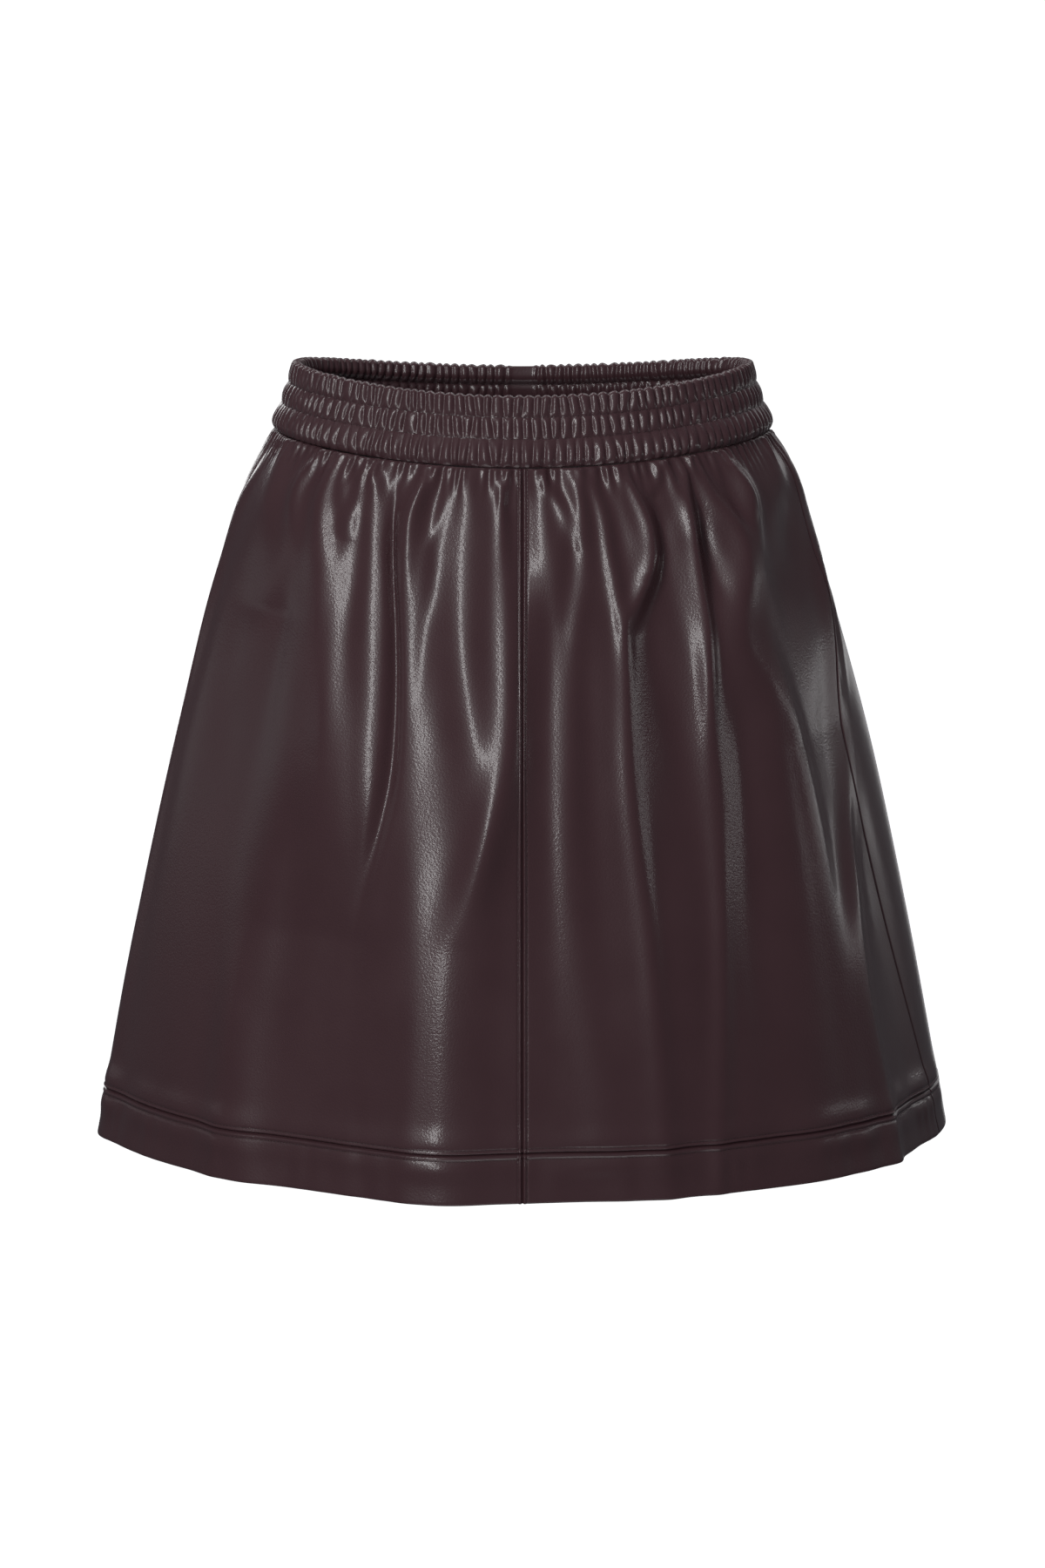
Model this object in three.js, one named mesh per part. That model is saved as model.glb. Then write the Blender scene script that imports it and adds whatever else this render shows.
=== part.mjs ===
// An A-line mini skirt of dark smooth leather, standing in the round as it is worn.
// A wide elastic waistband with three gathered channels carries a gathered skirt cut in two fronts and
// a back. A deep band finishes the hem, and it is cut and joined where the panels above it are.
//
// Millimetres. +Z is up, the front faces -Y and +X is the wearer's left. The origin is the middle of
// the waist, at half the height of the waistband. Angles are in degrees around the waist, from the
// centre front (0) over +X (90) to the centre back (180). A drop is the way down the cloth from the
// waistband's lower edge, from 0 to SKIRT_DROP at the hem.
import * as THREE from "three";

// Driving sizes
const WAIST_FRONT_Z = -24; // lower edge of the waistband at the centre front and back
const WAIST_SIDE_RISE = 11; // how much higher the waist sits at the sides
const HEM_Z = -418; // the hem is level
const SKIRT_DROP = 400; // cloth from the waistband to the hem
const HEM_BAND = 28; // height of the band that finishes the hem
const SEAM_GAP = 0.3; // between pieces that are sewn together
const PANEL_WALL = 1.4;
const HEM_WALL = 2.2; // the hem band is turned up, so it is double
const BAND_WALL = 2.6; // folded leather with its elastic, at a stitched groove
const BAND_HEIGHT = 37.8;
const BAND_GATHERS = 120;
const GATHER_DEPTH = 1; // a gather stands this far in and out of its channel's face
const BAND_FLAT_HALF = 4.4; // degrees each side of the centre back seam with no gathers
const SEWN_FOLD_SHARE = 0.3; // share of a fold's height that is left where the waistband holds it
const SEWN_FOLD_REACH = 14; // drop at which the fold has its full height

// The plain form under the folds: half width, and depth to the front and to the back, at each drop
const SECTIONS = [
  { drop: 0, half: 138.6, front: 103.8, back: 100.8 },
  { drop: 30, half: 155, front: 114, back: 112 },
  { drop: 75, half: 169.5, front: 124.5, back: 124 },
  { drop: 155, half: 191, front: 138, back: 141 },
  { drop: 275, half: 219, front: 154.5, back: 158 },
  { drop: 400, half: 245, front: 168.5, back: 168.5 },
];

// The folds that hang from the waistband. Each row gives, at the FOLD_LEVELS drops, the angle that the
// fold's ridge runs through and how tall it stands (a valley is less than 0), and its half width at the
// waistband and at the hem. A row that stops early has died away by then.
const FOLD_LEVELS = [0, 20, 45, 90, 160, 260, 400];
const FRONT_FOLDS = [
  { at: [-88, -87, -86, -86, -86], tall: [2, 3, 3, 2, 0], wide: [5, 34] },
  { at: [-69, -64, -61, -59], tall: [2.5, 4, 3, 0], wide: [4.5, 40] },
  { at: [-50, -52.5, -51, -50], tall: [3.5, 4.5, 2.5, 0], wide: [3.6, 30] },
  { at: [-46, -44.7, -41.8, -35.5, -32.5, -32], tall: [4, 6, 5.5, 4, 2, 0], wide: [3.8, 34] },
  { at: [-42, -40.2, -38.8], tall: [1.5, 1.8, 0], wide: [2.6, 20] },
  { at: [-37.4, -35.8, -34.3, -35.5, -33], tall: [4.5, 6, 5.5, 2.5, 0], wide: [3.4, 30] },
  { at: [-33.9, -31.6, -29.8, -27.9, -26.7, -28.6], tall: [3.5, 5.5, 6, 5.5, 3.5, 0], wide: [3, 26] },
  { at: [-29.7, -27.2], tall: [3, 0], wide: [2.6, 20] },
  { at: [-28.4, -28, -26.8, -24.3, -22, -20.4], tall: [-1, -2, -3.5, -4, -3, 0], wide: [2.4, 16] },
  { at: [-20, -21.4, -22.8, -20.2, -16, -14, -13], tall: [4, 5.5, 5.5, 5.5, 5.5, 5, 4.5], wide: [4, 30] },
  { at: [-14.3, -15.2, -18.4], tall: [3.5, 4.5, 0], wide: [2.6, 20] },
  { at: [-12.5, -11.7, -11.2, -10.7, -5.4, -4.4], tall: [4, 5, 5, 5, 3, 0], wide: [3.2, 26] },
  { at: [-7.5, -5.7, -4.8, -4, -4.2, -4], tall: [1, 4.5, 5, 4.5, 3, 0], wide: [3, 26] },
  { at: [-3, -2.5], tall: [2.6, 0], wide: [2.4, 20] },
  { at: [3.9, 4.1, 4.3, 5.5], tall: [3.5, 4.5, 3, 0], wide: [3, 26] },
  { at: [6, 7.1, 10.5], tall: [3, 3.5, 0], wide: [2.6, 20] },
  { at: [10.6, 11.8, 11.1, 8.2, 5.6, 4.8], tall: [4, 5.5, 5.5, 5, 3.5, 0], wide: [3.4, 30] },
  { at: [13, 15.8, 16.5, 18, 19.4, 19, 18], tall: [2.5, 4.5, 5, 4.5, 4, 4, 4], wide: [3.4, 34] },
  { at: [19.5, 19.4, 20.8, 22], tall: [2.5, 2.5, 2, 0], wide: [3, 26] },
  { at: [21.8, 23.8, 24.7, 20, 19], tall: [3.5, 5, 5.5, 3, 0], wide: [3.4, 34] },
  { at: [31.8, 29.3], tall: [3.5, 0], wide: [2.8, 20] },
  { at: [28, 28.5, 29, 29, 30, 33, 34], tall: [-0.5, -1.5, -2.5, -3, -2.5, -2, -2], wide: [4, 40] },
  { at: [33.6, 33, 35], tall: [3.5, 4, 0], wide: [2.6, 20] },
  { at: [39.6, 37.6, 34.4, 32.4, 36.4, 38], tall: [3.5, 4.5, 5.5, 5, 3.5, 0], wide: [3, 30] },
  { at: [42.4, 40.9, 41, 47.4, 51, 51.6, 50], tall: [3, 5, 6, 6.5, 7, 6.5, 5], wide: [3.2, 24] },
  { at: [47.2, 47.5], tall: [3.5, 0], wide: [3, 20] },
  { at: [48.8, 51.6, 53, 50.5, 50], tall: [2, 3.5, 3.5, 2, 0], wide: [4, 40] },
  { at: [73, 69, 66, 63, 60], tall: [2.5, 3.5, 3, 1.5, 0], wide: [4.5, 44] },
  { at: [88, 87, 84, 75, 66.8, 62.8, 57.5], tall: [2, 3, 4, 6, 9, 11.5, 12], wide: [6, 19] },
  { at: [95, 94, 92, 86, 79, 75, 71], tall: [0, 0, 0, -2, -4, -6, -6], wide: [8, 17] },
  { at: [-54, -54, -54, -54, -55, -51, -45], tall: [0, 0, 0, 1.5, 4, 6.5, 7], wide: [16, 32] },
  { at: [0, 0, 0, 0, 0, 0, 0], tall: [0, 0, 0, -1, -2, -2.5, -3], wide: [10, 30] },
  { at: [-78, -78, -78, -78, -78, -78, -77], tall: [0, 0, 0, 0, 0, 4, 1], wide: [6, 16] },
  { at: [-88, -88, -88, -88, -88, -88, -88], tall: [0, 0, 0, 0, 0, -3, -1], wide: [6, 14] },
];
// The back is gathered in the same way. Its folds are the front ones turned round to the back.
const BACK_FOLD_TURN = 186;
const BACK_FOLD_SPREAD = 1.1;
const BACK_FOLD_SHARE = 0.85;
const BACK_FOLD_REACH = 74; // front folds nearer the sides than this have no twin at the back

// The side seams, at the FOLD_LEVELS drops
const LEFT_SEAM = [80, 79, 78, 76, 72, 73, 79];
const RIGHT_SEAM = [-82, -82, -82, -82, -82.5, -83, -84];

// The waistband's face before it is gathered, from its lower edge up. It has a groove at each stitched
// line between the elastic channels, and a channel puffs out between two grooves. Gather is the share
// of a gather's depth in that row, and inside says whether the row is also one of the inner face.
const BAND_FACE = [
  { rise: 0, half: 138, front: 103.2, back: 100.4, puff: 0.4, gather: 0.4, inside: true },
  { rise: 4.5, half: 137.6, front: 102.6, back: 100.2, puff: 3, gather: 1, inside: true },
  { rise: 10.5, half: 135.8, front: 100.8, back: 99, puff: 2.6, gather: 1, inside: false },
  { rise: 15, half: 133.5, front: 98.7, back: 97.5, puff: 0, gather: 0.45, inside: true },
  { rise: 20.7, half: 131.4, front: 96.8, back: 96, puff: 2.2, gather: 1, inside: true },
  { rise: 26.4, half: 129.4, front: 95.2, back: 94.8, puff: 0, gather: 0.45, inside: true },
  { rise: 32, half: 127.9, front: 94, back: 93.8, puff: 1.9, gather: 1, inside: true },
  { rise: 37, half: 126.6, front: 93, back: 92.8, puff: 0.6, gather: 0.7, inside: false },
];
const BAND_INNER_PUFF = 0.4; // the inside puffs this share of what the outside does

const DEG = Math.PI / 180;

// A smooth curve through the values ys at the places xs, level beyond its ends
function curve(xs, ys, x) {
  const last = ys.length - 1;
  if (x <= xs[0]) return ys[0];
  if (x >= xs[last]) return ys[last];
  let i = 0;
  while (x > xs[i + 1]) i++;
  const slope = (k) => (ys[k + 1] - ys[k]) / (xs[k + 1] - xs[k]);
  const bend = (k) => {
    if (k === 0) return slope(0);
    if (k === last) return slope(last - 1);
    const before = xs[k] - xs[k - 1];
    const after = xs[k + 1] - xs[k];
    return (slope(k - 1) * after + slope(k) * before) / (before + after);
  };
  const h = xs[i + 1] - xs[i];
  const t = (x - xs[i]) / h;
  const rest = 1 - t;
  return (
    ys[i] * (1 + 2 * t) * rest * rest +
    bend(i) * h * t * rest * rest +
    ys[i + 1] * t * t * (3 - 2 * t) +
    bend(i + 1) * h * t * t * (t - 1)
  );
}

// The smallest turn from one angle to another
function turn(from, to) {
  return ((((to - from) % 360) + 540) % 360) - 180;
}

// Height of the waistband's lower edge at an angle
function waistZ(angle) {
  return WAIST_FRONT_Z + WAIST_SIDE_RISE * Math.sin(angle * DEG) ** 2;
}

// A point of an oval ring
function oval(half, front, back, angle, z) {
  const ahead = Math.cos(angle * DEG);
  const depth = ahead > 0 ? front : back;
  return new THREE.Vector3(half * Math.sin(angle * DEG), -depth * ahead, z);
}

const backFolds = FRONT_FOLDS.filter((fold) => Math.max(...fold.at.map(Math.abs)) < BACK_FOLD_REACH).map(
  (fold) => ({
    at: fold.at.map((angle) => BACK_FOLD_TURN + BACK_FOLD_SPREAD * angle),
    tall: fold.tall.map((height) => height * BACK_FOLD_SHARE),
    wide: fold.wide,
  }),
);
const FOLDS = [...FRONT_FOLDS, ...backFolds];

// How far the folds push the cloth out at an angle and a drop
function foldHeight(angle, drop, half, front) {
  const free = Math.min(1, drop / SEWN_FOLD_REACH);
  const share = SEWN_FOLD_SHARE + (1 - SEWN_FOLD_SHARE) * free;
  let height = 0;
  for (const fold of FOLDS) {
    const levels = FOLD_LEVELS.slice(0, fold.at.length);
    const tall = curve(levels, fold.tall, drop);
    if (tall === 0) continue;
    const ridge = curve(levels, fold.at, drop);
    const wide = fold.wide[0] + ((fold.wide[1] - fold.wide[0]) * drop) / SKIRT_DROP;
    const perDegree = DEG * Math.hypot(half * Math.cos(ridge * DEG), front * Math.sin(ridge * DEG));
    const away = (turn(ridge, angle) * perDegree) / wide;
    height += tall * Math.exp(-away * away);
  }
  return height * share;
}

// The outer face of the skirt at an angle and a drop
function face(angle, drop) {
  const drops = SECTIONS.map((section) => section.drop);
  const size = (name) => curve(drops, SECTIONS.map((section) => section[name]), drop);
  const [half, front, back] = [size("half"), size("front"), size("back")];
  const top = waistZ(angle);
  const point = oval(half, front, back, angle, top + (drop / SKIRT_DROP) * (HEM_Z - top));
  const depth = Math.cos(angle * DEG) > 0 ? front : back;
  const out = new THREE.Vector3(point.x / half ** 2, point.y / depth ** 2, 0).normalize();
  return point.addScaledVector(out, foldHeight(angle, drop, half, depth));
}

// The way that the face runs at an angle, over one degree of it
function along(angle, drop) {
  return face(angle + 0.5, drop).sub(face(angle - 0.5, drop));
}

// The same face moved in by the wall's thickness, square to the cloth as seen from above
function innerFace(angle, drop, wall) {
  const { x, y } = along(angle, drop);
  const inwards = new THREE.Vector3(-y, x, 0).normalize();
  return face(angle, drop).addScaledVector(inwards, wall);
}

// The triangles that join each ring of points to the next one and the last ring to the first. A ring's
// own two ends are joined too where the rings go all round.
function ringFaces(ringCount, pointCount, allRound) {
  const faces = [];
  const steps = allRound ? pointCount : pointCount - 1;
  for (let ring = 0; ring < ringCount; ring++) {
    const next = (ring + 1) % ringCount;
    for (let i = 0; i < steps; i++) {
      const j = (i + 1) % pointCount;
      const [a, b] = [ring * pointCount + i, ring * pointCount + j];
      const [d, c] = [next * pointCount + i, next * pointCount + j];
      faces.push(a, b, c, a, c, d);
    }
  }
  return faces;
}

function geometryFrom(rings, faces) {
  const positions = rings.flat().flatMap((point) => [point.x, point.y, point.z]);
  const geometry = new THREE.BufferGeometry();
  geometry.setAttribute("position", new THREE.Float32BufferAttribute(positions, 3));
  geometry.setIndex(faces);
  geometry.computeVertexNormals();
  return geometry;
}

// A curved wall between two side lines and two drops. Its rings go up the outer face and down the inner
// one, and the wall is closed at both side lines.
function wallGeometry(fromLine, toLine, drops, wall, columns) {
  const row = (surface, drop) => {
    const [from, to] = [curve(FOLD_LEVELS, fromLine, drop), curve(FOLD_LEVELS, toLine, drop)];
    const clear = (angle) => SEAM_GAP / 2 / along(angle, drop).length();
    const start = from + clear(from);
    const step = (to - clear(to) - start) / columns;
    return Array.from({ length: columns + 1 }, (_, i) => surface(start + step * i, drop));
  };
  const outer = drops.map((drop) => row(face, drop)).reverse();
  const inner = drops.map((drop) => row((angle, at) => innerFace(angle, at, wall), drop));
  const rings = [...outer, ...inner];
  const faces = ringFaces(rings.length, columns + 1, false);
  for (let ring = 0; ring < drops.length - 1; ring++) {
    const opposite = rings.length - 1 - ring;
    const [a, b, c, d] = [ring, ring + 1, opposite - 1, opposite].map((each) => each * (columns + 1));
    faces.push(a, b, c, a, c, d);
    faces.push(c + columns, b + columns, a + columns, d + columns, c + columns, a + columns);
  }
  return geometryFrom(rings, faces);
}

// The waistband: one ring with three puffed channels, crimped by its gathers but for a flat stretch at
// the centre back seam
function waistbandGeometry() {
  const columns = BAND_GATHERS * 2;
  const ring = (row, puff, crimp) =>
    Array.from({ length: columns }, (_, i) => {
      const angle = (360 * i) / columns;
      const flat = Math.abs(turn(180, angle)) < BAND_FLAT_HALF;
      const out = puff + (flat ? 0 : (i % 2 ? -1 : 1) * crimp);
      return oval(row.half + out, row.front + out, row.back + out, angle, waistZ(angle) + row.rise);
    });
  const outer = BAND_FACE.map((row) => ring(row, row.puff, GATHER_DEPTH * row.gather));
  const rim = { ...BAND_FACE.at(-1), rise: BAND_HEIGHT };
  const top = ring(rim, -BAND_WALL / 2, GATHER_DEPTH / 2);
  const insideRows = BAND_FACE.filter((row) => row.inside).reverse();
  const inner = insideRows.map((row) => ring(row, -BAND_WALL - row.puff * BAND_INNER_PUFF, 0));
  const rings = [...outer, top, ...inner];
  return geometryFrom(rings, ringFaces(rings.length, columns, true));
}

const skirt = new THREE.Group();

// One sub-part in the leather's colour and gloss
function addPiece(name, geometry) {
  const leather = new THREE.MeshStandardMaterial({ color: 0x3c2c2f, roughness: 0.38, metalness: 0 });
  const mesh = new THREE.Mesh(geometry, leather);
  mesh.name = name;
  skirt.add(mesh);
}

const HEM_SEAM_DROP = SKIRT_DROP - HEM_BAND;
const PANEL_DROPS = [SEAM_GAP, 9, 20, 40, 75, 130, 220, HEM_SEAM_DROP - SEAM_GAP];
const HEM_DROPS = [HEM_SEAM_DROP, HEM_SEAM_DROP + HEM_BAND / 2, SKIRT_DROP];
const CENTRE_FRONT = FOLD_LEVELS.map(() => 0);
const RIGHT_SEAM_ROUND = RIGHT_SEAM.map((angle) => angle + 360); // the same line, reached over the back

// The cut of the skirt: each stretch from one sewn line to the next, with its grid's columns
const STRETCHES = [
  { name: "front_right", from: RIGHT_SEAM, to: CENTRE_FRONT, columns: 52 },
  { name: "front_left", from: CENTRE_FRONT, to: LEFT_SEAM, columns: 52 },
  { name: "back", from: LEFT_SEAM, to: RIGHT_SEAM_ROUND, columns: 100 },
];

addPiece("waistband", waistbandGeometry());
for (const { name, from, to, columns } of STRETCHES) {
  addPiece(`${name}_panel`, wallGeometry(from, to, PANEL_DROPS, PANEL_WALL, columns));
  addPiece(`hem_band_${name}`, wallGeometry(from, to, HEM_DROPS, HEM_WALL, columns));
}

export default skirt;
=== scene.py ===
# %% [markdown]
# This lesson dresses a short A-line leather skirt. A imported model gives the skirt's pieces at their real
# size, and nothing here moves or resizes them. It has a waistband with three elastic channels, two front
# panels, a back panel and a deep hem band cut in three. Here each piece gets the thin, folded and sewn
# leather that the plain solid only stands for.

import bpy
import numpy as np
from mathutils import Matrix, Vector


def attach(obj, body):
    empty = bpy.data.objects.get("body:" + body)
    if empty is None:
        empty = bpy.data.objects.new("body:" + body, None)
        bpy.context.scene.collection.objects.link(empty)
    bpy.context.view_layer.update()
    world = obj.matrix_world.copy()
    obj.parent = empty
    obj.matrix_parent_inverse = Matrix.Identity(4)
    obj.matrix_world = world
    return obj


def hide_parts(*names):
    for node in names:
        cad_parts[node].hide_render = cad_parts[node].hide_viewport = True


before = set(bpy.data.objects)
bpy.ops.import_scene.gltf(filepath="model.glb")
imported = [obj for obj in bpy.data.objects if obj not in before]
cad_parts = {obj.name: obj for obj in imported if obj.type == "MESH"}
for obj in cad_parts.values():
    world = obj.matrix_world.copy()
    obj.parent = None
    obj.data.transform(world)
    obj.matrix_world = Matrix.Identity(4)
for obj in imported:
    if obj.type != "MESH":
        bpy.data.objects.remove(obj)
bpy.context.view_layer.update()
MM = 0.001
print("pieces of the frame:", sorted(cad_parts))

# %% [markdown]
# A product photo is taken from a little above with a long lens, so that the hem shows as a shallow curve.
# The camera could be placed by eye, but the hem's curve fixes it: a level hem of this width and depth
# looks this round only from 11 degrees above. The distance then follows from how much smaller the far
# side of the waistband looks than its near side.

# %% Camera
PHOTO_HEIGHT = 1800
FOCAL_PIXELS = 4685
SENSOR = 36
AIM = Vector((0, 0, -218)) * MM
CAMERA_DISTANCE = 2.342
CAMERA_ELEVATION = np.radians(11)

camera = bpy.data.objects.new("camera", bpy.data.cameras.new("camera"))
bpy.context.scene.collection.objects.link(camera)
camera.data.sensor_width = SENSOR
camera.data.lens = SENSOR * FOCAL_PIXELS / PHOTO_HEIGHT
away = Vector((0, -np.cos(CAMERA_ELEVATION), np.sin(CAMERA_ELEVATION)))
camera.location = AIM + away * CAMERA_DISTANCE
camera.rotation_euler = (-away).to_track_quat("-Z", "Y").to_euler()
camera.data.clip_start, camera.data.clip_end = 0.05, 50
bpy.context.scene.camera = camera
print("lens", round(camera.data.lens, 1), "mm at", round(CAMERA_DISTANCE, 2), "m")

# %% [markdown]
# The skirt's plain form is a stack of ovals that widen from the waist to the hem. A point on it is named
# by an angle round the waist, from the centre front over the wearer's left, and by a drop, the way down
# the cloth from the waistband. The sizes are the frame's own, in millimetres, so the cloth lies on its
# solid. A curve through the few rows gives every size in between.

# %% The plain form
WAIST_FRONT_Z, WAIST_SIDE_RISE = -24, 11
HEM_Z, SKIRT_DROP, HEM_BAND = -418, 400, 28
HEM_SEAM = SKIRT_DROP - HEM_BAND
SECTION_DROPS = [0, 30, 75, 155, 275, 400]
HALF_WIDTHS = [138.6, 155, 169.5, 191, 219, 245]
FRONT_DEPTHS = [103.8, 114, 124.5, 138, 154.5, 168.5]
BACK_DEPTHS = [100.8, 112, 124, 141, 158, 168.5]


def curve(xs, ys, x):
    """A smooth curve through the values ys at the places xs, level beyond its ends."""
    xs, ys = np.asarray(xs, float), np.asarray(ys, float)
    x = np.clip(x, xs[0], xs[-1])
    step, rise = np.diff(xs), np.diff(ys) / np.diff(xs)
    bend = np.empty(len(ys))
    bend[0], bend[-1] = rise[0], rise[-1]
    bend[1:-1] = (rise[:-1] * step[1:] + rise[1:] * step[:-1]) / (step[:-1] + step[1:])
    i = np.clip(np.searchsorted(xs, x, side="left") - 1, 0, len(step) - 1)
    h, t = step[i], (x - xs[i]) / step[i]
    rest = 1 - t
    start = ys[i] * (1 + 2 * t) + bend[i] * h * t
    end = ys[i + 1] * (3 - 2 * t) + bend[i + 1] * h * (t - 1)
    return start * rest * rest + end * t * t


def waist_z(angle):
    """Height of the waistband's lower edge."""
    return WAIST_FRONT_Z + WAIST_SIDE_RISE * np.sin(np.radians(angle)) ** 2


def oval(half, front, back, angle, z):
    """Points on oval rings, and the ways out of them."""
    across, ahead = np.sin(np.radians(angle)), np.cos(np.radians(angle))
    depth = np.where(ahead > 0, front, back)
    place = np.stack(np.broadcast_arrays(half * across, -depth * ahead, z), -1)
    out = np.stack(np.broadcast_arrays(across / half, -ahead / depth, 0 * across), -1)
    return place, out / np.linalg.norm(out, axis=-1, keepdims=True)


print("hem seam at a drop of", HEM_SEAM, "mm")

# %% [markdown]
# Gathered leather hangs in folds that start narrow at the waistband, join or fade on the way down, and
# the strongest run to the hem as broad flutes. They could be left to a cloth simulation, but that gives
# folds of its own and not these. So each fold is one row here: where its ridge runs and how tall it
# stands at a few drops, and how wide it is at the waistband and at the hem. A valley is a ridge of less
# than nothing. A ridge with a steep right flank has its own width there. The rows began as crests traced
# in a photo. Another program then fitted most of their numbers to the photo's shading, which is why
# they aren't round. Rows set by hand alone, as in the imported model's source, are the better practice.

# %% The folds
FOLD_LEVELS = [0, 20, 45, 90, 160, 260, 400]


def fold(at, tall, wide, right=None):
    """One fold's row: degrees and millimetres at the fold levels, and its half widths at both ends."""
    return {"at": at, "tall": tall, "wide": wide, "right": right or wide}


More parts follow.
